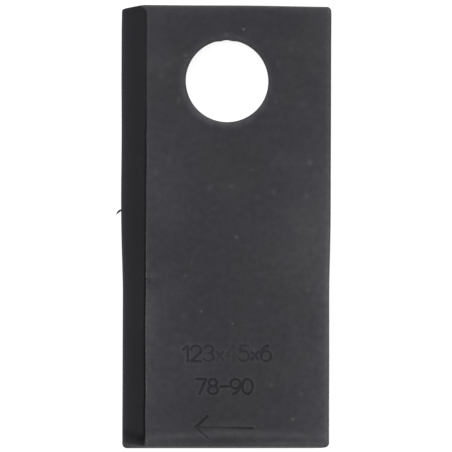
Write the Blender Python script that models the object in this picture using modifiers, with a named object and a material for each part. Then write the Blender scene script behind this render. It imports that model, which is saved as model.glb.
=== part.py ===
"""Rotary mower blade: a flat steel blade that swings on a pin through its hole.

The blade is built in the order in which a real one is made: a bar with a cutting bevel
along each long edge is cropped to length, punched, pressed at its free end, twisted
across the middle, and laid down on a flat surface. Its hole end points to +Y, and the
bevel on its upper face runs along the -X side.
"""

from math import atan2, cos, hypot, pi, sin, tan

import bmesh
import bpy
from mathutils import Matrix, Vector

MM = 0.001

# Blank
LENGTH = 104.3 * MM
WIDTH = 49.3 * MM
THICKNESS = 4.0 * MM

# Cutting bevels: upper face on the -X edge, lower face on the +X edge
BEVEL_WIDTH = 5.85 * MM
EDGE_LAND = 0.8 * MM

# Cropped ends: the shear drags one corner of each end over and leaves the wall leaning,
# and the cut at the hole end is a little out of square
CROP_LEAN = 0.35 * MM
CROP_ROLL_WIDTH = 1.6 * MM
CROP_ROLL_DEPTH = 0.55 * MM
HOLE_END_SKEW = 0.35 * pi / 180

# Corner radii in plan: at the hole end and at the free end, on the -X and on the +X side
HOLE_END_RADIUS_LEFT = 0.6 * MM
HOLE_END_RADIUS_RIGHT = 1.1 * MM
FREE_END_RADIUS_LEFT = 0.7 * MM
FREE_END_RADIUS_RIGHT = 1.3 * MM

# Punched pin hole: rolled mouth, straight burnished wall, then the wider torn cone
HOLE_DIAMETER = 19.6 * MM
HOLE_TO_END = 17.85 * MM
HOLE_OFF_CENTRE = 0.17 * MM
HOLE_ROLL_WIDTH = 0.8 * MM
HOLE_ROLL_DEPTH = 0.35 * MM
HOLE_BURNISH = 1.5 * MM
HOLE_TEAR_OUT = 0.3 * MM

# Shallow step that the shear presses into the upper face before the free end
PRESS_TO_END = 4.6 * MM
PRESS_LENGTH = 3.8 * MM
PRESS_DROP = 0.18 * MM

# Twist across the middle
TWIST_ANGLE = 8.9 * pi / 180
TWIST_TO_END = 43.0 * MM
TWIST_LENGTH = 25.6 * MM

# Fineness of the facets
HOLE_SIDES = 96
ARC_STEPS = 6
TWIST_CUTS = 20
TWIST_STRIPS = 8
PRESS_CUTS = 8

# Cutters just pass the faces that they finish, and stand well clear of the ones they don't
CUT_PAST = 0.01 * MM
CUT_MARGIN = 2.0 * MM
WELD_DISTANCE = 0.001 * MM

# Finish
STEEL_COLOUR = (0.050, 0.048, 0.054, 1.0)
STEEL_METALLIC = 0.6
STEEL_ROUGHNESS = 0.5
SHARP_EDGE_ANGLE = 25 * pi / 180

# The three views in which an outline is drawn, as (across, up, extruded along)
PLAN_VIEW = Matrix(((1, 0, 0), (0, 1, 0), (0, 0, 1)))
END_VIEW = Matrix(((1, 0, 0), (0, 0, -1), (0, 1, 0)))
SIDE_VIEW = Matrix(((0, 0, 1), (1, 0, 0), (0, 1, 0)))


def start_collection(name):
    """Make an empty collection in the scene."""
    collection = bpy.data.collections.new(name)
    bpy.context.scene.collection.children.link(collection)
    return collection


def arc(centre, radii, start, end, steps=ARC_STEPS):
    """Points along an ellipse's arc, from one angle to another, both ends included."""
    angles = [start + (end - start) * step / steps for step in range(steps + 1)]
    return [(centre[0] + radii[0] * cos(a), centre[1] + radii[1] * sin(a)) for a in angles]


def prism(name, outline, depth, view, collection):
    """Extrude a closed flat outline to both sides of its plane and return it as a mesh object."""
    curve = bpy.data.curves.new(name, "CURVE")
    curve.dimensions = "2D"
    curve.fill_mode = "BOTH"
    curve.extrude = depth / 2
    spline = curve.splines.new("POLY")
    spline.points.add(len(outline) - 1)
    for point, (across, up) in zip(spline.points, outline):
        point.co = (across, up, 0, 1)
    spline.use_cyclic_u = True

    drawn = bpy.data.objects.new(name + "_outline", curve)
    collection.objects.link(drawn)
    evaluated = drawn.evaluated_get(bpy.context.evaluated_depsgraph_get())
    mesh = bpy.data.meshes.new_from_object(evaluated)
    mesh.name = name
    bpy.data.objects.remove(drawn)
    bpy.data.curves.remove(curve)

    weld = bmesh.new()
    weld.from_mesh(mesh)
    bmesh.ops.remove_doubles(weld, verts=weld.verts, dist=WELD_DISTANCE)
    bmesh.ops.recalc_face_normals(weld, faces=weld.faces)
    weld.to_mesh(mesh)
    weld.free()
    mesh.transform(view.to_4x4())

    made = bpy.data.objects.new(name, mesh)
    collection.objects.link(made)
    return made


def bar_outline():
    """Section across the bar: a parallelogram whose sloping sides are the two bevels.

    It is wider than the blade, and the plan outline trims its sharp sides to EDGE_LAND.
    """
    slope = (THICKNESS - EDGE_LAND) / BEVEL_WIDTH
    sharp = WIDTH / 2 + EDGE_LAND / slope
    ridge = WIDTH / 2 - BEVEL_WIDTH
    top = THICKNESS / 2
    return [(-sharp, -top), (ridge, -top), (sharp, top), (-ridge, top)]


def crop_outline():
    """Side view of what one cut of the shear leaves: a leaning wall with its upper corner dragged over."""
    top = THICKNESS / 2
    roll = (CROP_ROLL_WIDTH, CROP_ROLL_DEPTH + CUT_PAST)
    wall_top = top - CROP_ROLL_DEPTH
    wall_slope = CROP_LEAN / (THICKNESS - CROP_ROLL_DEPTH)
    outer = LENGTH / 2
    inner = outer - CROP_LEAN - wall_slope * CUT_MARGIN
    beyond = -outer - 2 * CUT_MARGIN

    outline = [(beyond, -top - CUT_MARGIN), (inner, -top - CUT_MARGIN)]
    outline += arc((outer - CROP_ROLL_WIDTH, wall_top), roll, 0, pi / 2)
    outline += [(outer - CROP_ROLL_WIDTH, top + CUT_MARGIN), (beyond, top + CUT_MARGIN)]
    return outline


def plan_outline():
    """Plan view of the blade: its true width, with one radius to each corner."""
    side = WIDTH / 2
    end = LENGTH / 2 + CUT_PAST
    skew = side * tan(HOLE_END_SKEW)
    corners = [
        (side, end - skew, HOLE_END_RADIUS_RIGHT, 0),
        (-side, end + skew, HOLE_END_RADIUS_LEFT, pi / 2),
        (-side, -end, FREE_END_RADIUS_LEFT, pi),
        (side, -end, FREE_END_RADIUS_RIGHT, 3 * pi / 2),
    ]
    outline = []
    for x, y, radius, start in corners:
        centre = (x - radius if x > 0 else x + radius, y - radius if y > 0 else y + radius)
        outline += arc(centre, (radius, radius), start, start + pi / 2)
    return outline


def hole_punch(collection):
    """The solid that the pin hole takes away: rolled mouth, straight wall and torn cone."""
    top = THICKNESS / 2
    radius = HOLE_DIAMETER / 2
    roll_foot = top - HOLE_ROLL_DEPTH
    mouth = arc((radius + HOLE_ROLL_WIDTH, roll_foot), (HOLE_ROLL_WIDTH, HOLE_ROLL_DEPTH + CUT_PAST),
                pi / 2, pi)
    tear_slope = HOLE_TEAR_OUT / (THICKNESS - HOLE_ROLL_DEPTH - HOLE_BURNISH)
    foot = radius + HOLE_TEAR_OUT + tear_slope * CUT_MARGIN

    profile = [(0, top + CUT_MARGIN), (radius + HOLE_ROLL_WIDTH, top + CUT_MARGIN)]
    profile += mouth
    profile += [(radius, roll_foot - HOLE_BURNISH), (foot, -top - CUT_MARGIN), (0, -top - CUT_MARGIN)]

    mesh = bpy.data.meshes.new("hole_punch")
    edges = [(i, i + 1) for i in range(len(profile) - 1)]
    mesh.from_pydata([(r, 0, z) for r, z in profile], edges, [])
    punch = bpy.data.objects.new("hole_punch", mesh)
    collection.objects.link(punch)
    screw = punch.modifiers.new("turned", "SCREW")
    screw.steps = HOLE_SIDES
    screw.render_steps = HOLE_SIDES
    screw.use_merge_vertices = True
    screw.merge_threshold = WELD_DISTANCE
    punch.location = (HOLE_OFF_CENTRE, LENGTH / 2 - HOLE_TO_END, 0)
    return punch


def cut(blade, operation, tool):
    """Give the blade a Boolean with one of the tools."""
    boolean = blade.modifiers.new(tool.name, "BOOLEAN")
    boolean.operation = operation
    boolean.solver = "EXACT"
    boolean.object = tool
    tool.hide_render = True
    tool.display_type = "WIRE"


def freeze(blade):
    """Put the evaluated shape into the blade's own mesh and drop its modifiers."""
    evaluated = blade.evaluated_get(bpy.context.evaluated_depsgraph_get())
    mesh = bpy.data.meshes.new_from_object(evaluated)
    blade.modifiers.clear()
    blade.data = mesh


def slice_faces(shape, low, high, stations, normal):
    """Cut the faces that lie between two places along the blade at each station."""
    for station in stations:
        faces = [face for face in shape.faces if low < face.calc_center_median().y < high]
        edges = {edge for face in faces for edge in face.edges}
        verts = {vert for face in faces for vert in face.verts}
        bmesh.ops.bisect_plane(shape, geom=[*verts, *edges, *faces], dist=WELD_DISTANCE,
                               plane_co=Vector(normal) * station, plane_no=normal)


def spaced(start, end, cuts):
    """Evenly spaced places from start to end, both included."""
    return [start + (end - start) * step / cuts for step in range(cuts + 1)]


def ease(share):
    """Smooth step from 0 to 1 with a level start and end."""
    share = min(max(share, 0.0), 1.0)
    return share * share * (3 - 2 * share)


def lying_tilt():
    """Tilt of the hole end when the twisted blade lies on a flat surface.

    The hole end then touches along the ridge of its lower bevel and the free end along its
    lower -X edge. Both lie equally deep below the twist axis.
    """
    reach_ridge = WIDTH / 2 - BEVEL_WIDTH
    reach_edge = WIDTH / 2
    half = THICKNESS / 2
    ridge = hypot(reach_ridge, half)
    edge = hypot(reach_edge, half)
    ridge_angle = atan2(half, reach_ridge)
    edge_angle = TWIST_ANGLE + atan2(half, reach_edge)
    rise = edge * sin(edge_angle) - ridge * sin(ridge_angle)
    run = ridge * cos(ridge_angle) + edge * cos(edge_angle)
    return atan2(rise, run)


def form(blade):
    """Press the step at the free end, twist the middle and tip the blade as it lies."""
    hole_end = LENGTH / 2
    twist_high = hole_end - TWIST_TO_END
    twist_low = twist_high - TWIST_LENGTH
    press_high = PRESS_TO_END - LENGTH / 2
    press_low = press_high - PRESS_LENGTH
    tilt = lying_tilt()

    shape = bmesh.new()
    shape.from_mesh(blade.data)
    along = (0, 1, 0)
    slice_faces(shape, -LENGTH, LENGTH, spaced(twist_low, twist_high, TWIST_CUTS), along)
    slice_faces(shape, -LENGTH, LENGTH, spaced(press_low, press_high, PRESS_CUTS), along)
    strips = spaced(-WIDTH / 2, WIDTH / 2, TWIST_STRIPS)[1:-1]
    slice_faces(shape, twist_low, twist_high, strips, (1, 0, 0))

    for vert in shape.verts:
        pressed = ease((press_high - vert.co.y) / PRESS_LENGTH)
        height = 0.5 + vert.co.z / THICKNESS
        vert.co.z -= PRESS_DROP * pressed * height
        turned = tilt - TWIST_ANGLE * ease((twist_high - vert.co.y) / TWIST_LENGTH)
        vert.co = Matrix.Rotation(turned, 3, "Y") @ vert.co
    shape.to_mesh(blade.data)
    shape.free()


def set_down(blade):
    """Move the blade so that its box stands on the origin, centred over it."""
    corners = [vert.co for vert in blade.data.vertices]
    low = Vector([min(corner[axis] for corner in corners) for axis in range(3)])
    high = Vector([max(corner[axis] for corner in corners) for axis in range(3)])
    foot = Vector(((low.x + high.x) / 2, (low.y + high.y) / 2, low.z))
    blade.data.transform(Matrix.Translation(-foot))


def hardened_steel():
    """Dark, oil-quenched steel with a satin scale."""
    material = bpy.data.materials.new("hardened_steel")
    material.use_nodes = True
    shader = material.node_tree.nodes["Principled BSDF"]
    shader.inputs["Base Color"].default_value = STEEL_COLOUR
    shader.inputs["Metallic"].default_value = STEEL_METALLIC
    shader.inputs["Roughness"].default_value = STEEL_ROUGHNESS
    material.diffuse_color = STEEL_COLOUR
    return material


for old in list(bpy.data.objects):
    bpy.data.objects.remove(old, do_unlink=True)

parts = start_collection("rotary_mower_blade")
tools = start_collection("cutting_tools")

blade = prism("blade", bar_outline(), LENGTH + 2 * CUT_MARGIN, END_VIEW, parts)
hole_end_shear = prism("hole_end_shear", crop_outline(), WIDTH + 4 * CUT_MARGIN, SIDE_VIEW, tools)
hole_end_shear.rotation_euler.z = -HOLE_END_SKEW
free_end_shear = prism("free_end_shear", crop_outline(), WIDTH + 4 * CUT_MARGIN, SIDE_VIEW, tools)
free_end_shear.rotation_euler.x = pi
cut(blade, "INTERSECT", hole_end_shear)
cut(blade, "INTERSECT", free_end_shear)
cut(blade, "INTERSECT", prism("plan_trim", plan_outline(), THICKNESS + 2 * CUT_MARGIN, PLAN_VIEW, tools))
cut(blade, "DIFFERENCE", hole_punch(tools))
freeze(blade)
form(blade)
set_down(blade)
blade.data.materials.clear()
blade.data.materials.append(hardened_steel())
blade.data.shade_smooth()
blade.data.set_sharp_from_angle(angle=SHARP_EDGE_ANGLE)
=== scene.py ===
from math import atan2, cos, hypot, pi, radians, sin, sqrt, tan

import bpy
import numpy as np
from mathutils import Matrix, Vector, noise
from mathutils.geometry import delaunay_2d_cdt


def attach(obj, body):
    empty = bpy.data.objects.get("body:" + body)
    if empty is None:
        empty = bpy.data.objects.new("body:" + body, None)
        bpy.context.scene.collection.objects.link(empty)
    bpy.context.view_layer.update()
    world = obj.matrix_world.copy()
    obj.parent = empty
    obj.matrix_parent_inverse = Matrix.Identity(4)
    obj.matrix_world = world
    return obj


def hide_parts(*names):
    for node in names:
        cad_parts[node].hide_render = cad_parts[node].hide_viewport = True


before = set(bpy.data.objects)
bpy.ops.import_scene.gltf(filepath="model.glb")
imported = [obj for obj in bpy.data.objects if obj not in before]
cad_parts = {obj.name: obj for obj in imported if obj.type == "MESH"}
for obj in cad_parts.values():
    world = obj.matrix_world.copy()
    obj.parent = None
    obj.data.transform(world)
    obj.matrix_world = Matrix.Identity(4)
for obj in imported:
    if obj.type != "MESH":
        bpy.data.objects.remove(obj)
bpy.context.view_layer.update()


# Blank. The blade is one piece of spring steel, cropped by a shear from flat bar that has a
# cutting bevel rolled along each long edge, one on each face. It is drawn flat here, in
# millimetres about its middle, with the hole end at +Y and the upper face's bevel at -X.
LENGTH = 104.4
WIDTH = 49.5
THICKNESS = 4.0
BEVEL_WIDTH = 5.99
EDGE_LAND = 0.8
BEVEL_SLOPE = (THICKNESS - EDGE_LAND) / BEVEL_WIDTH
RIDGE_BLEND = 0.06
RIDGE_STEP = 0.10
RIDGE_STEP_WIDTH = 0.28
EDGE_ROUND = 0.11
SHOULDER_WIDTH = 2.6
SHOULDER_DROP = 0.10
MILL_ROUND = 0.15
CROP_LEAN = 0.35
CROP_ROLL_WIDTH = 2.2
CROP_ROLL_DEPTH = 0.6
RIDGE_BEND = 0.8
BEVEL_ROLL_WIDTH = 1.0
BEVEL_ROLL_DEPTH = 0.1
HOLE_END_SKEW = radians(0.35)
LEFT, RIGHT = -WIDTH / 2, WIDTH / 2
HOLE_END, FREE_END = LENGTH / 2, -LENGTH / 2
UPPER, LOWER = 1, -1
# The shear dragged the cropped ends back along the bevel, and the hole end bows out a little
BEVEL_DRAG = 0.155
BEVEL_DRAG_WIDTH = 5.25
HOLE_END_BOW, BOW_PLACE, BOW_SPREAD = 0.12, 6.0, 11.0
# One corner of the free end is knocked in, from this place out to the edge
KNOCK_DEPTH, KNOCK_START, KNOCK_WIDTH = 0.06, 22.6, 1.2
# (side, end, radius) of each corner, in the order in which the outline runs round
CORNERS = ((1, 1, 1.1), (-1, 1, 0.6), (-1, -1, 1.1), (1, -1, 1.25))
CORNER_STEPS = 8
OUTLINE_STEP = 0.3


def ease(share):
    """Smooth step from 0 to 1."""
    share = np.clip(share, 0, 1)
    return share * share * (3 - 2 * share)


def band(place, middle, reach):
    """Share of a soft band: 1 at its middle, falling off to both sides."""
    return np.exp(-((place - middle) / reach) ** 2)


def ripple(x, y, size, seed):
    """Smooth unevenness between about -1 and 1, whose bumps are of the given size."""
    return np.array([noise.noise(Vector((px / size, py / size, seed))) for px, py in zip(x, y)])


def end_line(end, x, face):
    """The cropped end's place along the blade. The shear leaves one face longer than the other."""
    dragged = BEVEL_DRAG * np.maximum(LEFT + BEVEL_DRAG_WIDTH - x, 0)
    if end < 0:
        knocked = KNOCK_DEPTH * ease((x - KNOCK_START) / KNOCK_WIDTH)
        return FREE_END + knocked + (CROP_LEAN + dragged if face == UPPER else 0)
    bowed = HOLE_END - x * tan(HOLE_END_SKEW) + HOLE_END_BOW * band(x, BOW_PLACE, BOW_SPREAD)
    return bowed - (dragged if face == UPPER else np.maximum(dragged + 0.05, CROP_LEAN))


def outline(face, inset=0.0):
    """Points around one face of the blank, a distance inside its edge."""
    arcs = []
    for number, (side, end, radius) in enumerate(CORNERS):
        fillet = max(radius - inset, 0.02)
        x = side * (WIDTH / 2 - inset - fillet)
        y = end_line(end, side * WIDTH / 2, face) - end * (inset + fillet)
        angles = [(number + step / CORNER_STEPS) * pi / 2 for step in range(CORNER_STEPS + 1)]
        arcs.append(np.array([(x + fillet * cos(a), y + fillet * sin(a)) for a in angles]))
    parts = []
    for arc, following in zip(arcs, arcs[1:] + arcs[:1]):
        runs_across = abs(arc[-1][0] - following[0][0]) > abs(arc[-1][1] - following[0][1])
        steps = round((WIDTH if runs_across else LENGTH) / OUTLINE_STEP)
        shares = np.linspace(0, 1, steps)[1:-1, None]
        run = arc[-1] + (following[0] - arc[-1]) * shares
        if runs_across:
            end = 1 if arc[-1][1] > 0 else -1
            run[:, 1] = end_line(end, run[:, 0], face) - end * inset
        parts += [arc, run]
    return np.concatenate(parts)


def inside(x, y, face):
    """Distance from a place on a face to the nearest edge of that face."""
    gaps = {
        "left": x - LEFT,
        "right": RIGHT - x,
        "hole end": end_line(1, x, face) - y,
        "free end": y - end_line(-1, x, face),
    }
    nearest = np.min(list(gaps.values()), axis=0)
    for side, end, radius in CORNERS:
        across = gaps["right" if side > 0 else "left"]
        along = gaps["hole end" if end > 0 else "free end"]
        rounded = radius - np.hypot(radius - across, radius - along)
        nearest = np.where((across < radius) & (along < radius), np.minimum(nearest, rounded), nearest)
    return np.maximum(nearest, 0)


def quarter(gap, reach, depth):
    """How far an elliptic quarter-round has dropped at a distance from its edge."""
    share = np.clip(1 - gap / reach, 0, 1)
    return depth * (1 - np.sqrt(1 - share ** 2))


def roll_over(gap, reach, depth):
    """How far a cropped end has been dragged down at a distance from the shear's cut."""
    return depth * np.clip(1 - gap / reach, 0, 1) ** 2


# The rolling left slight waves in the ridge: (place along the blade, reach, how far inward)
RIDGE_WAVES = (
    (26.0, 4.0, 0.06), (20.8, 2.5, -0.10), (14.0, 2.5, -0.02), (8.5, 4.0, -0.09),
    (-24.5, 6.5, -0.10), (-39.0, 2.5, 0.05), (-44.6, 4.0, -0.10))


def ridge_wave(y):
    """How far the ridge has strayed from its straight line, away from the cutting edge."""
    return sum(depth * band(y, middle, reach) for middle, reach, depth in RIDGE_WAVES)


def blank_height(x, y, face):
    """Distance of a face from the middle of the blank: flat, bevelled, and rounded at its edges.

    The rolled shoulder is opposite the bevel. The shear drags one end of each face over, and
    there the ridge bends outward.
    """
    roll_gap = end_line(1, x, face) - y if face == UPPER else y - end_line(-1, x, face)
    flat = THICKNESS / 2 - roll_over(roll_gap, CROP_ROLL_WIDTH, CROP_ROLL_DEPTH)
    flat -= quarter(WIDTH / 2 - face * x, SHOULDER_WIDTH, SHOULDER_DROP)
    flat -= quarter(WIDTH / 2 - face * x, MILL_ROUND, MILL_ROUND)
    beside = WIDTH / 2 - BEVEL_WIDTH - ridge_wave(y) + face * x
    beside += roll_over(roll_gap, CROP_ROLL_WIDTH, RIDGE_BEND)
    bevel = THICKNESS / 2 + BEVEL_SLOPE * beside - RIDGE_STEP * ease(-beside / RIDGE_STEP_WIDTH)
    bevel -= roll_over(roll_gap, BEVEL_ROLL_WIDTH, BEVEL_ROLL_DEPTH)
    share = np.clip(0.5 + 0.5 * (bevel - flat) / RIDGE_BLEND, 0, 1)
    height = bevel + (flat - bevel) * share - RIDGE_BLEND * share * (1 - share)
    return height - quarter(inside(x, y, face), EDGE_ROUND, EDGE_ROUND)


# Pin hole. A punch presses the rim of the upper face over, shears a smooth ring, and tears
# the rest of the way out, so the hole is wider and rougher at the lower face.
HOLE_RADIUS = 9.75
HOLE_X, HOLE_Y = 0.17, HOLE_END - 17.85
HOLE_ROLL_WIDTH = 0.8
HOLE_ROLL_DEPTH = 0.22
HOLE_BURNISH = 1.5
HOLE_TEAR_OUT = 0.3
HOLE_POINTS = 200
HOLE_LOWER_ROUND = 0.08
# The punch left two small lips in the hole's edge on the side towards the hole end
LIP_PLACES, LIP_SPREAD, LIP_REACH = (radians(82.3), radians(99.2)), radians(4.7), 0.17


def hole_reach(radius, turn):
    """Distance of a ring from the hole's axis. The lips narrow the hole and fade away from its edge."""
    lips = LIP_REACH * sum(band(turn, lip_place, LIP_SPREAD) for lip_place in LIP_PLACES)
    return radius - lips * max(0, 1 - abs(radius - HOLE_RADIUS) / HOLE_ROLL_WIDTH)


def hole_ring(radius):
    """Points around the hole at a radius."""
    turn = np.arange(HOLE_POINTS) * 2 * pi / HOLE_POINTS
    reach = hole_reach(radius, turn)
    return np.stack([HOLE_X + reach * np.cos(turn), HOLE_Y + reach * np.sin(turn)], 1)


def hole_drop(x, y, face):
    """How far the rim of the hole is pressed over on the upper face, or rounded on the lower."""
    gap = np.hypot(x - HOLE_X, y - HOLE_Y) - HOLE_RADIUS
    if face == UPPER:
        return roll_over(np.maximum(gap, 0), HOLE_ROLL_WIDTH, HOLE_ROLL_DEPTH)
    return quarter(np.maximum(gap - HOLE_TEAR_OUT, 0), HOLE_LOWER_ROUND, HOLE_LOWER_ROUND)


# Stamped marks. Plain numbers and an arrow for the cutting direction, struck cold into the
# upper face by steel punches that sat unevenly in their holder, so that some are shallow.
STROKE_HALF = 0.33
STROKE_DEPTH = 0.14
STROKE_LIP = 0.02
STROKE_POINT_STEP = 0.13
STROKE_LANES = (0, 0.35, 0.7, 1.0, 1.35, 1.8)


def bend(centre, radii, start, end, steps=14):
    """Part of an ellipse as a line of points, from one angle to another in degrees."""
    angles = [radians(start + (end - start) * step / steps) for step in range(steps + 1)]
    return [(centre[0] + radii[0] * cos(a), centre[1] + radii[1] * sin(a)) for a in angles]


# The width and the lines of each punch, on a field one unit high
PUNCHES = {
    "0": (0.70, [bend((0.35, 0.5), (0.35, 0.5), 90, 450, 28)]),
    "1": (0.32, [[(0.0, 0.76), (0.30, 1.0), (0.30, 0.0)]]),
    "2": (0.68, [bend((0.34, 0.70), (0.33, 0.30), 170, -38) + [(0.0, 0.0), (0.68, 0.0)]]),
    "3": (0.64, [bend((0.31, 0.76), (0.29, 0.24), 160, -90), bend((0.31, 0.26), (0.32, 0.26), 90, -160)]),
    "4": (0.68, [[(0.50, 0.0), (0.50, 1.0), (0.0, 0.30), (0.68, 0.30)]]),
    "5": (0.64, [[(0.58, 1.0), (0.10, 1.0), (0.06, 0.56)] + bend((0.30, 0.32), (0.34, 0.32), 128, -150)]),
    "6": (0.66, [bend((0.33, 0.32), (0.33, 0.32), 0, 360, 24), bend((0.52, 0.34), (0.52, 0.66), 180, 96)]),
    "7": (0.66, [[(0.0, 1.0), (0.66, 1.0), (0.20, 0.0)]]),
    "8": (0.66, [bend((0.33, 0.76), (0.27, 0.24), 0, 360, 24),
                 bend((0.33, 0.26), (0.33, 0.26), 0, 360, 24)]),
    "9": (0.66, [bend((0.33, 0.68), (0.33, 0.32), 0, 360, 24), bend((0.14, 0.66), (0.52, 0.66), 0, -84)]),
    "x": (0.44, [[(0.0, 0.08), (0.44, 0.60)], [(0.0, 0.60), (0.44, 0.08)]]),
    "-": (0.58, [[(0.03, 0.50), (0.58, 0.50)]]),
}
# (text, left end, foot line, height, gap between punches, force at the left, middle and right)
ROWS = (
    ("123x45x6", -9.9, -31.9, 3.65, 0.64, (1.0, 0.36, 0.85)),
    ("78-90", -6.7, -39.6, 3.5, 0.48, (0.95, 1.0, 0.95)),
)
ARROW_TIP = (-6.95, -47.45)
ARROW_WAIST = (-0.5, -47.55)
ARROW_TAIL = (6.75, -47.72)
ARROW_BARBS = ((-3.95, -44.8), (-4.0, -49.95))
# A blow left a nick across the ridge, cut as one more stroke: its two ends and its force
NICK = [(-18.75, -12.5), (-18.1, -12.6)]
NICK_FORCE = 0.6


def stamped_strokes():
    """Every stroke, and the nick, as points and the force of the blow at the first and last one."""
    strokes = []
    for text, left, foot, height, gap, forces in ROWS:
        widths = [PUNCHES[letter][0] * height for letter in text]
        reach = sum(widths) + gap * (len(text) - 1)
        x = left
        for letter, width in zip(text, widths):
            force = float(np.interp((x + width / 2 - left) / reach, (0, 0.55, 1), forces))
            for line in PUNCHES[letter][1]:
                strokes.append(([(x + u * height, foot + v * height) for u, v in line], force, force))
            x += width + gap
    strokes.append(([ARROW_TAIL, ARROW_WAIST], 1.05, 0.4))
    strokes.append(([ARROW_WAIST, ARROW_TIP], 0.4, 0.5))
    strokes.append(([ARROW_TIP, ARROW_BARBS[0]], 0.9, 1.1))
    strokes.append(([ARROW_TIP, ARROW_BARBS[1]], 0.6, 0.8))
    strokes.append((NICK, NICK_FORCE, 0.3 * NICK_FORCE))
    return strokes


STROKES = stamped_strokes()


def stroke_at(x, y):
    """Distance from each place to the nearest stroke, and the force of the blow there."""
    gap = np.full(len(x), 99.0)
    force = np.zeros(len(x))
    for line, first, last in STROKES:
        for number, ((ax, ay), (bx, by)) in enumerate(zip(line, line[1:])):
            along = ((x - ax) * (bx - ax) + (y - ay) * (by - ay)) / ((bx - ax) ** 2 + (by - ay) ** 2)
            along = np.clip(along, 0, 1)
            away = np.hypot(x - ax - along * (bx - ax), y - ay - along * (by - ay))
            nearer = away < gap
            gap = np.where(nearer, away, gap)
            force = np.where(nearer, first + (last - first) * (number + along) / (len(line) - 1), force)
    return gap, force


def stamp_drop(x, y):
    """Depth of the stamped strokes, less the metal that they pushed up beside them."""
    gap, force = stroke_at(x, y)
    force = force * (0.8 + 0.3 * ripple(x, y, 1.7, 6.0))
    groove = STROKE_DEPTH * force * (1 - ease(gap / STROKE_HALF))
    lip = STROKE_LIP * force * band(gap, 1.35 * STROKE_HALF, 0.35 * STROKE_HALF)
    return groove - lip


# Scuffs. Handling and knocks have rubbed small bright flecks through the scale of the upper
# face. A loop strews them from a fixed seed, so none stands where a real one does. Each is
# (x, y, half-width across, half-width along, strength).
FLECK_FIELD = ((-17, 21), (-46, 47))
FLECK_SEED = 7
# Groups of flecks, from bright to faint: (how many, range of half-width, range of strength)
FLECK_GROUPS = (
    (8, (0.2, 0.35), (0.1, 0.4)), (26, (0.25, 0.8), (0.04, 0.1)), (44, (0.3, 0.9), (0.015, 0.035)))


def strewn_flecks():
    """Flecks strewn over the flat of the upper face, one group after the other."""
    draw = np.random.default_rng(FLECK_SEED).uniform
    return tuple(
        (draw(*FLECK_FIELD[0]), draw(*FLECK_FIELD[1]), draw(*reach), draw(*reach), draw(*strength))
        for count, reach, strength in FLECK_GROUPS for _ in range(count))


FLECKS = strewn_flecks()

# Soft patches, in the same form, where a hand, a clamp or the quench left the scale uneven. A
# negative strength is a place where the scale is thicker and darker. Three are painted light: the
# light one right of the twist paints the light that the twisted face catches there, and the dark
# pair by the ridge at the twist paints its shade.
SOFT_PATCHES = (
    (1.0, 8.5, 2.0, 2.0, 0.02), (19.5, -3.5, 6.0, 9.0, 0.03), (-11.5, -15.0, 1.5, 1.0, 0.02),
    (10.0, 44.0, 3.0, 1.5, 0.02), (15.5, 43.5, 2.5, 1.0, 0.02), (1.0, -46.5, 5.0, 0.8, 0.04),
    (1.5, -48.5, 6.5, 0.5, 0.05), (-17.5, -21.5, 1.5, 5.5, 0.05), (-16.5, -11.5, 1.5, 0.7, 0.04),
    (-17.0, -13.5, 2.0, 1.0, -0.04), (-18.0, -13.5, 0.5, 1.0, -0.07), (7.5, 48.0, 6.5, 3.0, -0.08),
    (-15.0, 39.0, 3.5, 2.0, 0.04), (14.5, 16.0, 4.5, 2.0, 0.03), (3.5, 15.5, 4.5, 2.0, -0.05),
    (-12.5, 2.5, 4.0, 3.5, 0.03), (2.5, -8.0, 3.0, 2.0, -0.05), (-7.5, -31.0, 4.5, 4.0, 0.03),
    (-1.5, -45.0, 3.5, 1.5, -0.05), (21.0, -24.5, 2.5, 4.5, -0.03),
)
FLECK_REACHES = (0.6, 1.2, 2.0)
FLECK_SIDES = 10


def fleck_points():
    """The middle of each fleck and rings round it, so that the skin has points to carry it."""
    points = []
    for x, y, across, along, _ in FLECKS:
        points.append((x, y))
        for reach in FLECK_REACHES:
            for side in range(FLECK_SIDES):
                turn = 2 * pi * side / FLECK_SIDES
                points.append((x + reach * across * cos(turn), y + reach * along * sin(turn)))
    return np.array(points)


# Faces. Points stand close together where a face turns or is stamped and wider apart where
# it is flat, and a triangulation joins them into the skin of the upper and lower face.
FILL_STEP = 0.62
MARK_FILL_STEP = 0.32
MARK_FIELD = ((-11.6, 12.6), (-51.2, -26.6))
WHOLE_FIELD = ((LEFT, RIGHT), (FREE_END, HOLE_END))
EDGE_INSETS = (0.03, 0.08, 0.15, 0.3, 0.6)
RIDGE_OFFSETS = (-0.46, -0.34, -0.25, -0.16, -0.08, 0.0, 0.09, 0.18, 0.3)
ROLL_GAPS = (0.2, 0.45, 0.7, 1.0, 1.3, 1.6, 1.9, 2.2)
RIM_STEPS = 6


class Scatter:
    """Points that keep a least distance from the ones placed before them."""

    def __init__(self):
        self.cells = {}
        self.points = []

    def near(self, x, y, gap):
        """Whether a point placed before lies nearer than the gap."""
        column, row = int(x // 1), int(y // 1)
        return any(
            (px - x) ** 2 + (py - y) ** 2 < gap * gap
            for i in (column - 1, column, column + 1)
            for j in (row - 1, row, row + 1)
            for px, py in self.cells.get((i, j), ()))

    def add(self, points, gap):
        """Place those points that have room, and return the number of each one placed."""
        first = len(self.points)
        for x, y in points:
            if gap == 0 or not self.near(x, y, gap):
                self.cells.setdefault((int(x // 1), int(y // 1)), []).append((x, y))
                self.points.append((float(x), float(y)))
        return list(range(first, len(self.points)))


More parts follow.
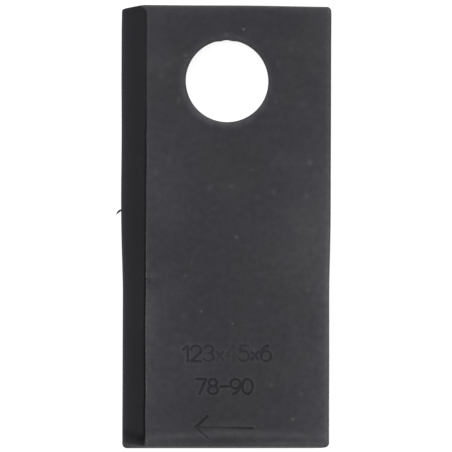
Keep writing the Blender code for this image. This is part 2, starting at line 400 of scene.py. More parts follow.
def stroke_points():
    """Lanes of points along each stroke: its floor, both walls and the raised lips."""
    rows = []
    for line, _, _ in STROKES:
        for (ax, ay), (bx, by) in zip(line, line[1:]):
            length = hypot(bx - ax, by - ay)
            steps = max(1, round(length / STROKE_POINT_STEP))
            nx, ny = (ay - by) / length, (bx - ax) / length
            for lane in STROKE_LANES + tuple(-lane for lane in STROKE_LANES[1:]):
                away = lane * STROKE_HALF
                rows += [(abs(lane), ax + (bx - ax) * s / steps + nx * away,
                          ay + (by - ay) * s / steps + ny * away) for s in range(steps + 1)]
        for x, y in (line[0], line[-1]):
            for lane in STROKE_LANES[1:]:
                count = round(2 * pi * lane * STROKE_HALF / STROKE_POINT_STEP)
                rows += [(lane, x + lane * STROKE_HALF * cos(2 * pi * s / count),
                          y + lane * STROKE_HALF * sin(2 * pi * s / count)) for s in range(count)]
    points = np.array(rows)
    gap, _ = stroke_at(points[:, 1], points[:, 2])
    in_own_lane = gap > points[:, 0] * STROKE_HALF - 0.02
    return points[in_own_lane, 1:]


def ridge_place(y, face):
    """Distance of the line between flat and bevel from the blade's middle, at a place along it."""
    roll_gap = end_line(1, 0, face) - y if face == UPPER else y - end_line(-1, 0, face)
    drop = roll_over(roll_gap, CROP_ROLL_WIDTH, CROP_ROLL_DEPTH)
    drop -= roll_over(roll_gap, BEVEL_ROLL_WIDTH, BEVEL_ROLL_DEPTH)
    straight = BEVEL_WIDTH - WIDTH / 2 - drop / BEVEL_SLOPE
    return straight + ridge_wave(y) - roll_over(roll_gap, CROP_ROLL_WIDTH, RIDGE_BEND)


def ridge_line(offset, face):
    """Points along the line between flat and bevel, or a little to one side of it."""
    y = np.arange(end_line(-1, 0, face) + 0.35, end_line(1, 0, face) - 0.1, OUTLINE_STEP)
    return np.stack([face * (ridge_place(y, face) + offset), y], 1)


def face_skin(face, rim_radii):
    """Plan points and triangles of a face, with the point numbers of its outline and its rim."""
    scatter = Scatter()
    edge = scatter.add(outline(face), 0)
    rim = scatter.add(hole_ring(rim_radii[0]), 0)
    for inset in EDGE_INSETS:
        scatter.add(outline(face, inset), min(0.2, 0.8 * inset + 0.02))
    for radius in rim_radii[1:]:
        scatter.add(hole_ring(radius), 0.05)
    for offset in RIDGE_OFFSETS:
        scatter.add(ridge_line(offset, face), 0.08)
    across = np.arange(LEFT + 0.3, RIGHT - 0.2, 2 * OUTLINE_STEP)
    for gap in ROLL_GAPS:
        along = end_line(1, across, face) - gap if face == UPPER else end_line(-1, across, face) + gap
        has_room = inside(across, along, face) > 0.05
        scatter.add(np.stack([across, along], 1)[has_room], 0.11)
    fields = [(FILL_STEP, WHOLE_FIELD)]
    if face == UPPER:
        scatter.add(stroke_points(), 0.075)
        marks = fleck_points()
        on_steel = inside(marks[:, 0], marks[:, 1], face) > 0.1
        on_steel &= np.hypot(marks[:, 0] - HOLE_X, marks[:, 1] - HOLE_Y) > rim_radii[0] + 0.1
        scatter.add(marks[on_steel], 0.09)
        fields.insert(0, (MARK_FILL_STEP, MARK_FIELD))
    for step, (span_x, span_y) in fields:
        for number, y in enumerate(np.arange(*span_y, step * sqrt(3) / 2)):
            x = np.arange(span_x[0] + step / 2 * (number % 2), span_x[1], step)
            row = np.stack([x, np.full(len(x), y)], 1)
            has_room = inside(row[:, 0], row[:, 1], face) > 0.1
            has_room &= np.hypot(x - HOLE_X, y - HOLE_Y) > rim_radii[0] + 0.1
            scatter.add(row[has_room], 0.62 * step)

    borders = [pair for ring in (edge, rim) for pair in zip(ring, ring[1:] + ring[:1])]
    placed, _, faces, origins, _, _ = delaunay_2d_cdt(
        [Vector(point) for point in scatter.points], borders, [], 1, 1e-6)
    plan = np.array([tuple(point) for point in placed])
    triangles = np.array(faces)
    number_of = {origin: number for number, own in enumerate(origins) for origin in own}
    away = plan[triangles].mean(axis=1) - (HOLE_X, HOLE_Y)
    own_reach = hole_reach(rim_radii[0], np.arctan2(away[:, 1], away[:, 0]))
    in_hole = np.hypot(away[:, 0], away[:, 1]) < own_reach * cos(pi / HOLE_POINTS)
    return plan, triangles[~in_hole], [number_of[n] for n in edge], [number_of[n] for n in rim]


rim_steps = [HOLE_ROLL_WIDTH * (1 - cos(pi / 2 * step / RIM_STEPS)) for step in range(RIM_STEPS + 1)]
upper_rims = [HOLE_RADIUS + step for step in rim_steps] + [HOLE_RADIUS + 1.3]
lower_rims = [HOLE_RADIUS + HOLE_TEAR_OUT + step for step in (0, 0.03, 0.08, 0.3, 0.7)]
upper_plan, upper_faces, upper_edge, upper_rim = face_skin(UPPER, upper_rims)
lower_plan, lower_faces, lower_edge, lower_rim = face_skin(LOWER, lower_rims)

upper_x, upper_y = upper_plan.T
upper_z = blank_height(upper_x, upper_y, UPPER) - hole_drop(upper_x, upper_y, UPPER)
upper_z -= stamp_drop(upper_x, upper_y)
lower_x, lower_y = lower_plan.T
lower_z = hole_drop(lower_x, lower_y, LOWER) - blank_height(lower_x, lower_y, LOWER)
upper_skin = np.stack([upper_x, upper_y, upper_z], 1)
lower_skin = np.stack([lower_x, lower_y, lower_z], 1)


# Cropped walls. The shear leaves a smooth band where it cuts and a grainy one where the steel
# broke. It came from the upper face at the hole end and from the lower face at the free end.
WALL_LEVELS = 9
BREAK_GRAIN = 0.035
BREAK_GRAIN_SIZE = 0.45
SMOOTH_SHARE = 0.38
BORDER_WANDER = 0.10
BORDER_BLEND = 0.08
MILL_GRAIN_SHARE = 0.25
CORNER_REACH = 0.6
BURNISH_LEVELS = 4
HOLE_WALL_LEVELS = 12
TEAR_GRAIN = 0.05
TEAR_BLEND = 0.25


def wall_rings(upper_ring, lower_ring, levels, grain, broken):
    """Rings of points between two rings, pushed in or out by the grain of the broken steel.

    broken gives the share of the full grain at each point, from its height share and number.
    """
    outward = np.roll(upper_ring, -1, axis=0) - np.roll(upper_ring, 1, axis=0)
    outward = np.stack([outward[:, 1], -outward[:, 0]], 1)
    outward /= np.linalg.norm(outward, axis=1)[:, None]
    rings = []
    for level in range(1, levels):
        share = level / levels
        ring = upper_ring + (lower_ring - upper_ring) * share
        bumps = [noise.noise(Vector(tuple(point / BREAK_GRAIN_SIZE))) for point in ring]
        ring[:, :2] += outward * (grain * broken(share, ring) * np.array(bumps))[:, None]
        rings.append(ring)
    return rings


def crop_broken(share, ring):
    """Where the cropped walls are broken. The long edges came smooth from the rolling mill."""
    wander = BORDER_WANDER * ripple(ring[:, 0], ring[:, 1], 3.0, 7.0)
    at_hole_end = ease((share - SMOOTH_SHARE + wander) / BORDER_BLEND)
    at_free_end = ease((1 - share - SMOOTH_SHARE + wander) / BORDER_BLEND)
    along_side = np.minimum(HOLE_END - ring[:, 1], ring[:, 1] - FREE_END) > CORNER_REACH
    return np.where(along_side, MILL_GRAIN_SHARE, np.where(ring[:, 1] > 0, at_hole_end, at_free_end))


def hole_torn(share, ring):
    """The tear under the burnished ring reaches its full grain soon below it."""
    return np.minimum(1, share / TEAR_BLEND)


outer_rings = wall_rings(
    upper_skin[upper_edge], lower_skin[lower_edge], WALL_LEVELS, BREAK_GRAIN, crop_broken)
straight_to = upper_skin[upper_rim] - (0, 0, HOLE_BURNISH)
hole_rings = wall_rings(upper_skin[upper_rim], straight_to, BURNISH_LEVELS, 0, hole_torn)
hole_rings += [straight_to]
hole_rings += wall_rings(
    straight_to, lower_skin[lower_rim], HOLE_WALL_LEVELS, TEAR_GRAIN, hole_torn)


def wall_faces(rings, faces_out):
    """Four-sided faces between rings of point numbers, from the upper one down."""
    faces = []
    for above, below in zip(rings, rings[1:]):
        for i in range(len(above)):
            j = (i + 1) % len(above)
            face = (above[i], below[i], below[j], above[j])
            faces.append(face if faces_out else face[::-1])
    return faces


def numbered(rings, first):
    """Point numbers of rings that are stored one after the other."""
    return [list(range(first + len(ring) * i, first + len(ring) * (i + 1))) for i, ring in enumerate(rings)]


lower_first = len(upper_skin)
outer_first = lower_first + len(lower_skin)
hole_first = outer_first + sum(len(ring) for ring in outer_rings)
outer_numbers = [upper_edge, *numbered(outer_rings, outer_first), [n + lower_first for n in lower_edge]]
hole_numbers = [upper_rim, *numbered(hole_rings, hole_first), [n + lower_first for n in lower_rim]]
blade_points = np.concatenate([upper_skin, lower_skin, *outer_rings, *hole_rings])
blade_faces = [tuple(int(n) for n in face) for face in upper_faces]
blade_faces += [tuple(int(n) + lower_first for n in face[::-1]) for face in lower_faces]
blade_faces += wall_faces(outer_numbers, True) + wall_faces(hole_numbers, False)


# Burr. One thin, leaf-shaped whisker of steel hangs on the cutting edge where the rolling left
# it. It is a shell of short rings around a bent line, and its root is sunk into the edge.
BURR_ROOT, BURR_KNEE, BURR_TIP = (-24.45, 4.0, -1.55), (-25.2, 3.95, -1.45), (-25.98, 2.75, -1.2)
BURR_HALF_WIDTH, BURR_HALF_THICKNESS = 0.24, 0.08
BURR_RINGS, BURR_SIDES = 9, 8


def burr_shell():
    """Points and faces of the burr, as rings along a bent line from its root to its tip."""
    root, knee, tip = (np.array(point) for point in (BURR_ROOT, BURR_KNEE, BURR_TIP))
    points, faces = [], []
    for ring in range(BURR_RINGS):
        share = ring / (BURR_RINGS - 1)
        middle = root * (1 - share) ** 2 + knee * 2 * share * (1 - share) + tip * share ** 2
        along = (knee - root) * (1 - share) + (tip - knee) * share
        across = np.cross(along, (0, 0, 1))
        across /= np.linalg.norm(across)
        above = np.cross(across, along) / np.linalg.norm(along)
        leaf = 0.55 + 0.45 * sin(pi * share) if share < 0.5 else sin(pi * share) + 0.04
        for side in range(BURR_SIDES):
            turn = 2 * pi * side / BURR_SIDES
            sideways = across * BURR_HALF_WIDTH * cos(turn)
            upwards = above * BURR_HALF_THICKNESS * sin(turn)
            points.append(middle + leaf * (sideways + upwards))
    for ring in range(BURR_RINGS - 1):
        for side in range(BURR_SIDES):
            here, beside = ring * BURR_SIDES + side, ring * BURR_SIDES + (side + 1) % BURR_SIDES
            faces.append((here, here + BURR_SIDES, beside + BURR_SIDES, beside))
    last = (BURR_RINGS - 1) * BURR_SIDES
    faces.append(tuple(range(BURR_SIDES)))
    faces.append(tuple(range(last + BURR_SIDES - 1, last - 1, -1)))
    return np.array(points), faces


burr_first = len(blade_points)
burr_points, burr_faces = burr_shell()
blade_points = np.concatenate([blade_points, burr_points])
blade_faces += [tuple(burr_first + n for n in face) for face in burr_faces]


# Wear and painted light. The scale is rubbed to lighter steel where the blade was handled, and the
# same lighter colour is painted light along the ridge and the shoulder, at the edges and the ends,
# round the hole and beside the strokes; each part below says which. A lighter band lies across the
# pressed step, and the scuffs are rubbed steel.
# Middle of the lighter band across the pressed step, and of the painted shadow across the bevel there
PRESS_PALE_BAND_PLACE, PRESS_SHADOW_PLACE = -49.2, -50.4


def press_bow(x):
    """How far the pressed step before the free end bows towards that end on both sides."""
    return np.where(x < 1, 0.002, 0.0006) * (x - 1) ** 2


def fade(gap, reach):
    """Share that is 1 up to an edge and fades with the distance from it."""
    return np.exp(-np.maximum(gap, 0) / reach)


flat_x, flat_y, flat_z = blade_points.T
on_top = np.zeros(len(blade_points))
on_top[:lower_first] = 1
face_x = np.where(on_top > 0, flat_x, -flat_x)
from_ridge = face_x - np.where(on_top > 0, ridge_place(flat_y, UPPER), ridge_place(flat_y, LOWER))
edge_gap = inside(flat_x, flat_y, UPPER)
hole_gap = np.hypot(flat_x - HOLE_X, flat_y - HOLE_Y) - HOLE_RADIUS
hole_turn = np.arctan2(flat_y - HOLE_Y, flat_x - HOLE_X)
patchy = 0.5 + 0.5 * ripple(flat_x, flat_y, 2.2, 1.0)
fine = 0.5 + 0.5 * ripple(flat_x, flat_y, 0.7, 2.0)
broken_patchily = 0.6 + 0.8 * patchy
broken_finely = 0.7 + 0.6 * fine
towards_free_end = ease((20 - flat_y) / 50)
past_hole = ease((26 - flat_y) / 14)
right_gap = np.maximum(RIGHT - face_x, 0)
on_bevel = ease(-from_ridge / 0.2)
on_flat = 1 - on_bevel
end_gap = np.minimum(end_line(1, flat_x, UPPER) - flat_y, flat_y - end_line(-1, flat_x, UPPER))

# Along the ridge: rubbed steel with small bright nicks from the twist to the free end, and a
# painted highlight on the flat's edge at the ridge. The flat beside the ridge is a little lighter too,
# most below the hole.
nicked = np.clip(1.6 * ripple(flat_x, flat_y, 0.45, 8.0), 0, 1)
on_ridge = ease((8 - flat_y) / 16) * ease((flat_y + 47) / 10)
ridge_wear_and_highlight = (0.07 + 0.20 * on_ridge) * (0.3 + 0.7 * fine) + 0.40 * on_ridge * nicked
wear_and_painted_light = ridge_wear_and_highlight * band(from_ridge, 0.12, 0.12)
wear_and_painted_light += 0.10 * on_ridge * nicked * band(from_ridge, 0.6, 0.4)
wear_and_painted_light += 0.03 * fade(from_ridge, 2.0) * on_flat
wear_and_painted_light += 0.045 * past_hole * band(from_ridge, 0, 9.0) * on_flat

# Painted light at the shoulder, the edges and the two ends, mixed with rubbing: the right side and
# its rounded shoulder are painted lighter where the light falls on them, every edge has a painted
# glow of the bright surroundings, and the rolled ends have painted highlights.
wear_and_painted_light += (0.068 + 0.008 * towards_free_end) * fade(right_gap, 2.4) + 0.20 * fade(right_gap, 0.4)
wear_and_painted_light += (0.01 + 0.04 * past_hole) * band(right_gap, 0, 11.0)
wear_and_painted_light += (0.30 - 0.20 * on_bevel) * np.exp(-edge_gap / 0.3) * broken_finely
wear_and_painted_light += 0.13 * on_bevel * fade(face_x - LEFT, 0.9)
end_wear_and_highlight = np.where(flat_y > 0, 0.32, 0.02 + 0.07 * ease((flat_x - 1) / 12))
wear_and_painted_light += end_wear_and_highlight * fade(end_gap, 0.6) * on_flat

# A lighter band across the pressed step before the free end. Round the hole, painted highlights on
# the lower left of the pressed-over rim, where it faces the light, and on the lips at its top, and a
# painted glow along the rim's edge; then the scuffs, and painted highlights on the stroke lips,
# mixed with rubbing.
pressed_band = band(flat_y - PRESS_PALE_BAND_PLACE + press_bow(flat_x), 0, 0.8)
wear_and_painted_light += 0.10 * pressed_band * on_flat * on_top * broken_patchily
lower_left = (0.5 - 0.5 * np.sin(hole_turn + 0.6)) ** 1.3
at_top = 0.6 * band(hole_turn, 1.35, 0.45)
wear_and_painted_light += 0.10 * band(hole_gap, 0.9, 0.6) * (lower_left + at_top) * (0.5 + patchy)
wear_and_painted_light += (0.27 + 0.09 * np.cos(hole_turn - 3.3)) * band(hole_gap, 0, 0.5) * broken_finely
for x, y, across, along, strength in FLECKS + SOFT_PATCHES:
    spread = ((flat_x - x) / across) ** 2 + ((flat_y - y) / along) ** 2
    wear_and_painted_light += on_top * strength * np.exp(-spread) * broken_patchily
stroke_gap, stroke_force = stroke_at(flat_x, flat_y)
wear_and_painted_light += on_top * 0.09 * stroke_force * fine * band(stroke_gap, 0.5, 0.18)

# Painted shade: the stroke grooves are painted dark, and so is a line at the foot of the ridge's
# step, and a painted shadow lies across the bevel at the pressed step. The bevel is a little darker
# away from the hole end, and soft patches with a negative strength make the scale darker.
painted_shade_and_dark_scale = on_top * 0.28 * stroke_force * (1 - ease((stroke_gap - 0.10) / 0.30))
line_fade = ease((flat_y - FREE_END - 0.9) / 2.4)
ridge_foot_shade = 0.2 + 0.5 * ease((30 - flat_y) / 12) + 0.52 * ease((4 - flat_y) / 24)
painted_shade_and_dark_scale += ridge_foot_shade * line_fade * band(from_ridge, -0.19, 0.21)
painted_shade_and_dark_scale += 0.05 * ease((46 - flat_y) / 12) * on_bevel * band(from_ridge, -2.0, 1.8)
press_shadow = 0.38 + 0.20 * band(from_ridge, -1.0, 1.0)
in_press = band(flat_y - PRESS_SHADOW_PLACE + 0.35 * from_ridge, 0, 1.1)
painted_shade_and_dark_scale += press_shadow * on_top * on_bevel * in_press
painted_shade_and_dark_scale += np.maximum(-wear_and_painted_light, 0)

# The walls have wear of their own: there it marks where the cut is smooth
on_wall = np.arange(len(blade_points)) >= outer_first
in_hole = np.arange(len(blade_points)) >= hole_first
down_share = 0.5 - flat_z / THICKNESS
torn = ease((down_share - 0.45) / 0.1)
smooth_cut = 1 - np.where(in_hole, torn, crop_broken(down_share, blade_points))
wear_and_painted_light = np.where(on_wall, 0.10 + 0.35 * smooth_cut * (0.6 + 0.4 * patchy), wear_and_painted_light)
painted_shade_and_dark_scale = np.where(on_wall, 0, painted_shade_and_dark_scale)


# Forming. The shear's clamp presses a shallow step before the free end, then the blade is
# twisted across its middle, hardened, and lies here on its lower ridge and its left edge.
PRESS_TO_END = 4.6
PRESS_LENGTH = 3.8
PRESS_DROP = 0.18
TWIST_ANGLE = radians(8.9)
TWIST_TO_END = 43.0
TWIST_LENGTH = 25.6
SURFACE_WAVE = 0.02
PER_METRE = 1000
# Slight waves in the long edges: (side, place along the blade, reach, how far inward)
SIDE_WAVES = (
    (-1, 21.5, 9.0, 0.085), (-1, 51.5, 3.5, 0.06), (1, 9.5, 13.0, 0.047), (1, 50.0, 6.0, -0.045),
    (1, -32.0, 9.0, -0.025))
SIDE_WAVE_WIDTH = 4.75


def lying_tilt():
    """Tilt of the hole end when the twisted blade lies on a flat surface, and its axis height."""
    half = THICKNESS / 2
    ridge = hypot(WIDTH / 2 - BEVEL_WIDTH, half)
    edge = hypot(WIDTH / 2, half)
    ridge_angle = atan2(half, WIDTH / 2 - BEVEL_WIDTH)
    edge_angle = TWIST_ANGLE + atan2(half, WIDTH / 2)
    tilt = atan2(edge * sin(edge_angle) - ridge * sin(ridge_angle),
                 ridge * cos(ridge_angle) + edge * cos(edge_angle))
    return tilt, ridge * sin(tilt + ridge_angle)


def side_wave(x, y):
    """How far each point beside a long edge is carried sideways by the waves in that edge."""
    return sum(
        -side * depth * band(y, middle, reach)
        * ease((side * x - WIDTH / 2 + SIDE_WAVE_WIDTH) / SIDE_WAVE_WIDTH)
        for side, middle, reach, depth in SIDE_WAVES)


def formed(points):
    """Places of flat points on the pressed, twisted blade as it lies, in metres."""
    x, y, z = points.T
    x = x + side_wave(x, y)
    pressed = ease((FREE_END + PRESS_TO_END - press_bow(x) - y) / PRESS_LENGTH)
    z = z - PRESS_DROP * pressed * (0.5 + z / THICKNESS)
    tilt, axis_height = lying_tilt()
    turned = tilt - TWIST_ANGLE * ease((HOLE_END - TWIST_TO_END - y) / TWIST_LENGTH)
    along = y - WIDTH / 4 * tan(HOLE_END_SKEW)
    return np.stack([
        x * np.cos(turned) + z * np.sin(turned),
        along,
        z * np.cos(turned) - x * np.sin(turned) + axis_height,
    ], 1) / PER_METRE


wavy = 0.5 * ripple(flat_x, flat_y, 14.0, 4.0) + 0.25 * ripple(flat_x, flat_y, 5.0, 5.0)
blade_points[:, 2] += SURFACE_WAVE * wavy
blade_mesh = bpy.data.meshes.new("forged_blade")
blade_mesh.from_pydata([tuple(point) for point in formed(blade_points)], [], blade_faces)
blade_mesh.shade_smooth()
for name, values in (("wear_and_painted_light", wear_and_painted_light), ("painted_shade_and_dark_scale", painted_shade_and_dark_scale)):
    blade_mesh.attributes.new(name, "FLOAT", "POINT").data.foreach_set("value", values.astype(np.float32))
face_count = len(upper_faces) + len(lower_faces)
blade_mesh.polygons.foreach_set("material_index", [int(n >= face_count) for n in range(len(blade_faces))])
forged_blade = bpy.data.objects.new("forged_blade", blade_mesh)
bpy.context.scene.collection.objects.link(forged_blade)


# Quenched spring steel. Hardening in oil leaves a thin, even scale, satin to the eye, that
# drifts between blue-black and olive-black. Rubbed places and painted light are greyer, and painted
# shade is near black. The real grain is too fine to show, so it is drawn coarser.
BLUE_DARK, BLUE_LIGHT = "#3B3A3F", "#424146"
OLIVE_DARK, OLIVE_LIGHT = "#3B3B3D", "#424244"
RUBBED_AND_LIT_STEEL = "#979699"
PAINTED_SHADE_DARK = "#0F0E10"
HUE_MM = 13.0
MOTTLE_MM = 9.0
FINE_MOTTLE_MM = 1.5
ROLLED_GRAIN_MM = 0.5
ROLLED_GRAIN_LENGTH_MM = 25.0
SCALE_GRAIN_MM = 0.3
SCALE_GRAIN_HEIGHT_MM = 0.02


def colour(code):
    """A linear colour from an sRGB hex value."""
    parts = [int(code[i:i + 2], 16) / 255 for i in (1, 3, 5)]
    return tuple(c / 12.92 if c <= 0.04045 else ((c + 0.055) / 1.055) ** 2.4 for c in parts) + (1,)


def add_node(tree, kind, links=None, values=None, **settings):
    """Add a node with its settings, its sockets' values, and links from other nodes' outputs."""
    node = tree.nodes.new(kind)
    for name, value in settings.items():
        setattr(node, name, value)
    for socket, value in (values or {}).items():
        node.inputs[socket].default_value = value
    for socket, output in (links or {}).items():
        tree.links.new(output, node.inputs[socket])
    return node


spring_steel = bpy.data.materials.new("quenched_spring_steel")
spring_steel.use_nodes = True
steel = spring_steel.node_tree
steel.nodes.clear()
place = add_node(steel, "ShaderNodeTexCoord").outputs["Object"]
mottle = add_node(steel, "ShaderNodeTexNoise", {"Vector": place},
                  {"Scale": PER_METRE / MOTTLE_MM, "Detail": 4, "Roughness": 0.55})
fine_mottle = add_node(steel, "ShaderNodeTexNoise", {"Vector": place},
                       {"Scale": PER_METRE / FINE_MOTTLE_MM, "Detail": 3, "Roughness": 0.6})
along_bar = add_node(steel, "ShaderNodeMapping", {"Vector": place}, {
    "Scale": (PER_METRE / ROLLED_GRAIN_MM, PER_METRE / ROLLED_GRAIN_LENGTH_MM, PER_METRE / ROLLED_GRAIN_MM)})
rolled_grain = add_node(steel, "ShaderNodeTexNoise", {"Vector": along_bar.outputs[0]},
                        {"Scale": 1, "Detail": 2, "Roughness": 0.5})
hue = add_node(steel, "ShaderNodeTexNoise", {"Vector": place},
               {"Scale": PER_METRE / HUE_MM, "Detail": 2, "Roughness": 0.5})
fine_share = add_node(steel, "ShaderNodeMath", {0: fine_mottle.outputs[0]}, {1: 0.75}, operation="MULTIPLY")
cloud = add_node(steel, "ShaderNodeMath", {0: mottle.outputs[0], 2: fine_share.outputs[0]}, {1: 0.45},
                 operation="MULTIPLY_ADD")
tone = add_node(steel, "ShaderNodeMapRange", {"Value": cloud.outputs[0]}, {"From Min": 0.2, "From Max": 1.0})
olive_share = add_node(steel, "ShaderNodeMapRange", {"Value": hue.outputs[0]},
                       {"From Min": 0.55, "From Max": 0.67})
blue_tone = add_node(steel, "ShaderNodeMix", {"Factor": tone.outputs[0]},
                     {"A": colour(BLUE_DARK), "B": colour(BLUE_LIGHT)}, data_type="RGBA")
olive_tone = add_node(steel, "ShaderNodeMix", {"Factor": tone.outputs[0]},
                      {"A": colour(OLIVE_DARK), "B": colour(OLIVE_LIGHT)}, data_type="RGBA")
scale_tone = add_node(steel, "ShaderNodeMix", {
    "Factor": olive_share.outputs[0], "A": blue_tone.outputs["Result"], "B": olive_tone.outputs["Result"]},
    data_type="RGBA")
# Rubbed steel and painted light alike mix towards the lighter grey
wear_and_light_attribute = add_node(steel, "ShaderNodeAttribute", attribute_name="wear_and_painted_light")
wear_and_light_break = add_node(steel, "ShaderNodeMapRange", {"Value": fine_mottle.outputs[0]},
                      {"From Min": 0.3, "From Max": 0.7, "To Min": 0.9, "To Max": 1.1})
wear_and_light_share = add_node(steel, "ShaderNodeMath", {0: wear_and_light_attribute.outputs["Fac"], 1: wear_and_light_break.outputs[0]},
                      operation="MULTIPLY", use_clamp=True)
wear_and_light_tone = add_node(steel, "ShaderNodeMix",
                     {"Factor": wear_and_light_share.outputs[0], "A": scale_tone.outputs["Result"]},
                     {"B": colour(RUBBED_AND_LIT_STEEL)}, data_type="RGBA")
# Painted shade, and the darker scale, mix towards near black
shade_attribute = add_node(steel, "ShaderNodeAttribute", attribute_name="painted_shade_and_dark_scale")
steel_tone = add_node(steel, "ShaderNodeMix",
                      {"Factor": shade_attribute.outputs["Fac"], "A": wear_and_light_tone.outputs["Result"]},
                      {"B": colour(PAINTED_SHADE_DARK)}, data_type="RGBA")
scale_grain = add_node(steel, "ShaderNodeTexNoise", {"Vector": place},
                       {"Scale": PER_METRE / SCALE_GRAIN_MM, "Detail": 3, "Roughness": 0.6})
grain_height = add_node(steel, "ShaderNodeMath", {0: scale_grain.outputs[0], 1: rolled_grain.outputs[0]},
                        operation="ADD")
grain_bump = add_node(steel, "ShaderNodeBump", {"Height": grain_height.outputs[0]},
                      {"Strength": 0.7, "Distance": SCALE_GRAIN_HEIGHT_MM / PER_METRE})
sheen = add_node(steel, "ShaderNodeMapRange", {"Value": cloud.outputs[0]},
                 {"From Min": 0.2, "From Max": 1.0, "To Min": 0.53, "To Max": 0.39})
steel_shader = add_node(steel, "ShaderNodeBsdfPrincipled",
                        {"Base Color": steel_tone.outputs["Result"], "Roughness": sheen.outputs[0],
                         "Normal": grain_bump.outputs[0]}, {"Metallic": 0.9})
add_node(steel, "ShaderNodeOutputMaterial", {"Surface": steel_shader.outputs[0]})
forged_blade.data.materials.append(spring_steel)


# Sheared steel. The cropped ends, the edge lands and the hole's wall show broken grain under
# the scale: rougher and duller than the faces, with a lighter band where the cut was clean.
# The grain is drawn coarser than it is, so that it shows.
SHEARED_DARK = "#3B3A3D"
CLEAN_CUT = "#8A898C"
BROKEN_GRAIN_MM = 0.25
BROKEN_GRAIN_HEIGHT_MM = 0.04

sheared_steel = bpy.data.materials.new("sheared_spring_steel")
sheared_steel.use_nodes = True
cut = sheared_steel.node_tree
cut.nodes.clear()
cut_place = add_node(cut, "ShaderNodeTexCoord").outputs["Object"]
broken_grain = add_node(cut, "ShaderNodeTexNoise", {"Vector": cut_place},
                        {"Scale": PER_METRE / BROKEN_GRAIN_MM, "Detail": 4, "Roughness": 0.65})
clean = add_node(cut, "ShaderNodeAttribute", attribute_name="wear_and_painted_light")
glints = add_node(cut, "ShaderNodeMapRange", {"Value": broken_grain.outputs[0]},
                  {"From Min": 0.35, "From Max": 0.7, "To Min": 0.6, "To Max": 1.4})
clean_share = add_node(cut, "ShaderNodeMath", {0: clean.outputs["Fac"], 1: glints.outputs[0]},
                       operation="MULTIPLY", use_clamp=True)
cut_tone = add_node(cut, "ShaderNodeMix", {"Factor": clean_share.outputs[0]},
                    {"A": colour(SHEARED_DARK), "B": colour(CLEAN_CUT)}, data_type="RGBA")
cut_bump = add_node(cut, "ShaderNodeBump", {"Height": broken_grain.outputs[0]},
                    {"Strength": 0.6, "Distance": BROKEN_GRAIN_HEIGHT_MM / PER_METRE})
cut_shader = add_node(cut, "ShaderNodeBsdfPrincipled",
                      {"Base Color": cut_tone.outputs["Result"], "Normal": cut_bump.outputs[0]},
                      {"Metallic": 0.3, "Roughness": 0.75, "Specular IOR Level": 0.2})
add_node(cut, "ShaderNodeOutputMaterial", {"Surface": cut_shader.outputs[0]})
forged_blade.data.materials.append(sheared_steel)

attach(forged_blade, "root")
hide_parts("blade")


# Studio. The blade lies on a white laminate table in a pale room, under one large soft lamp
# overhead. A lit pale board stands beyond the hole end, on the right.
TABLE_SIZE = 12.0
ROOM_GREY = 0.36
LAMP_SIZE = 1.2
LAMP_PLACE = Vector((-0.03, 0.20, 1.1))
LAMP_POWER = 3.9
BOARD_SIZE = 0.9
BOARD_PLACE = Vector((0.6, 1.0, 0.75))
BOARD_POWER = 1.6
TABLE_WHITE = "#E6E6E6"
TABLE_GLOW = 0.76

white_table_mesh = bpy.data.meshes.new("white_table")
half = TABLE_SIZE / 2
table_corners = [(-half, -half, 0), (half, -half, 0), (half, half, 0), (-half, half, 0)]
white_table_mesh.from_pydata(table_corners, [], [(0, 1, 2, 3)])
white_table = bpy.data.objects.new("white_table", white_table_mesh)
bpy.context.scene.collection.objects.link(white_table)
laminate = bpy.data.materials.new("white_laminate")
laminate.use_nodes = True
table = laminate.node_tree
table.nodes.clear()
ray = add_node(table, "ShaderNodeLightPath")
seen = add_node(table, "ShaderNodeMath", {0: ray.outputs["Is Camera Ray"], 1: ray.outputs["Is Glossy Ray"]},
                operation="MAXIMUM")
seen = add_node(table, "ShaderNodeMath", {0: seen.outputs[0], 1: ray.outputs["Is Transmission Ray"]},
                operation="MAXIMUM")
glow = add_node(table, "ShaderNodeMath", {0: seen.outputs[0]}, {1: TABLE_GLOW}, operation="MULTIPLY")
table_shader = add_node(
    table, "ShaderNodeBsdfPrincipled", {"Emission Strength": glow.outputs[0]},
    {"Base Color": colour(TABLE_WHITE), "Roughness": 0.6, "Emission Color": (1, 1, 1, 1)})
add_node(table, "ShaderNodeOutputMaterial", {"Surface": table_shader.outputs[0]})
white_table_mesh.materials.append(laminate)

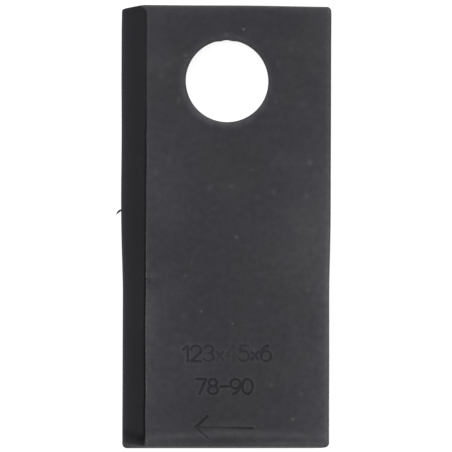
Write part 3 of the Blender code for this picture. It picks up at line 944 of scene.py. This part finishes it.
soft_lamp_data = bpy.data.lights.new("soft_lamp", "AREA")
soft_lamp_data.size = LAMP_SIZE
soft_lamp_data.energy = LAMP_POWER
soft_lamp = bpy.data.objects.new("soft_lamp", soft_lamp_data)
soft_lamp.location = LAMP_PLACE
soft_lamp.rotation_euler = LAMP_PLACE.to_track_quat("Z", "Y").to_euler()
bpy.context.scene.collection.objects.link(soft_lamp)

pale_board_data = bpy.data.lights.new("pale_board", "AREA")
pale_board_data.size = BOARD_SIZE
pale_board_data.energy = BOARD_POWER
pale_board = bpy.data.objects.new("pale_board", pale_board_data)
pale_board.location = BOARD_PLACE
pale_board.rotation_euler = BOARD_PLACE.to_track_quat("Z", "Y").to_euler()
bpy.context.scene.collection.objects.link(pale_board)

room = bpy.data.worlds.new("pale_room")
room.use_nodes = True
room.node_tree.nodes["Background"].inputs["Color"].default_value = (1, 1, 1, 1)
room.node_tree.nodes["Background"].inputs["Strength"].default_value = ROOM_GREY
bpy.context.scene.world = room


# Camera. It looks down on the blade from a few degrees to the right and towards the free end,
# from so far away that the sides of the blade look parallel.
CAMERA_DISTANCE = 1.5
CAMERA_AIM = Vector((0.027, 0.078, 3.6)) / PER_METRE
CAMERA_TILTS = (radians(3.4794), radians(3.6186), radians(0.1417))
CAMERA_LENS = 506.46
SENSOR_WIDTH = 36

turn_x, turn_y, turn_z = CAMERA_TILTS
camera_turn = Matrix.Rotation(turn_y, 4, "Y") @ Matrix.Rotation(turn_x, 4, "X")
camera_turn = camera_turn @ Matrix.Rotation(turn_z, 4, "Z")
back_off = Matrix.Translation((0, 0, CAMERA_DISTANCE))
camera_data = bpy.data.cameras.new("camera")
camera_data.sensor_width = SENSOR_WIDTH
camera_data.lens = CAMERA_LENS
camera_data.clip_end = 100
camera = bpy.data.objects.new("camera", camera_data)
camera.matrix_world = Matrix.Translation(CAMERA_AIM) @ camera_turn @ back_off
bpy.context.scene.collection.objects.link(camera)
bpy.context.scene.camera = camera
bpy.context.scene.view_settings.view_transform = "Standard"
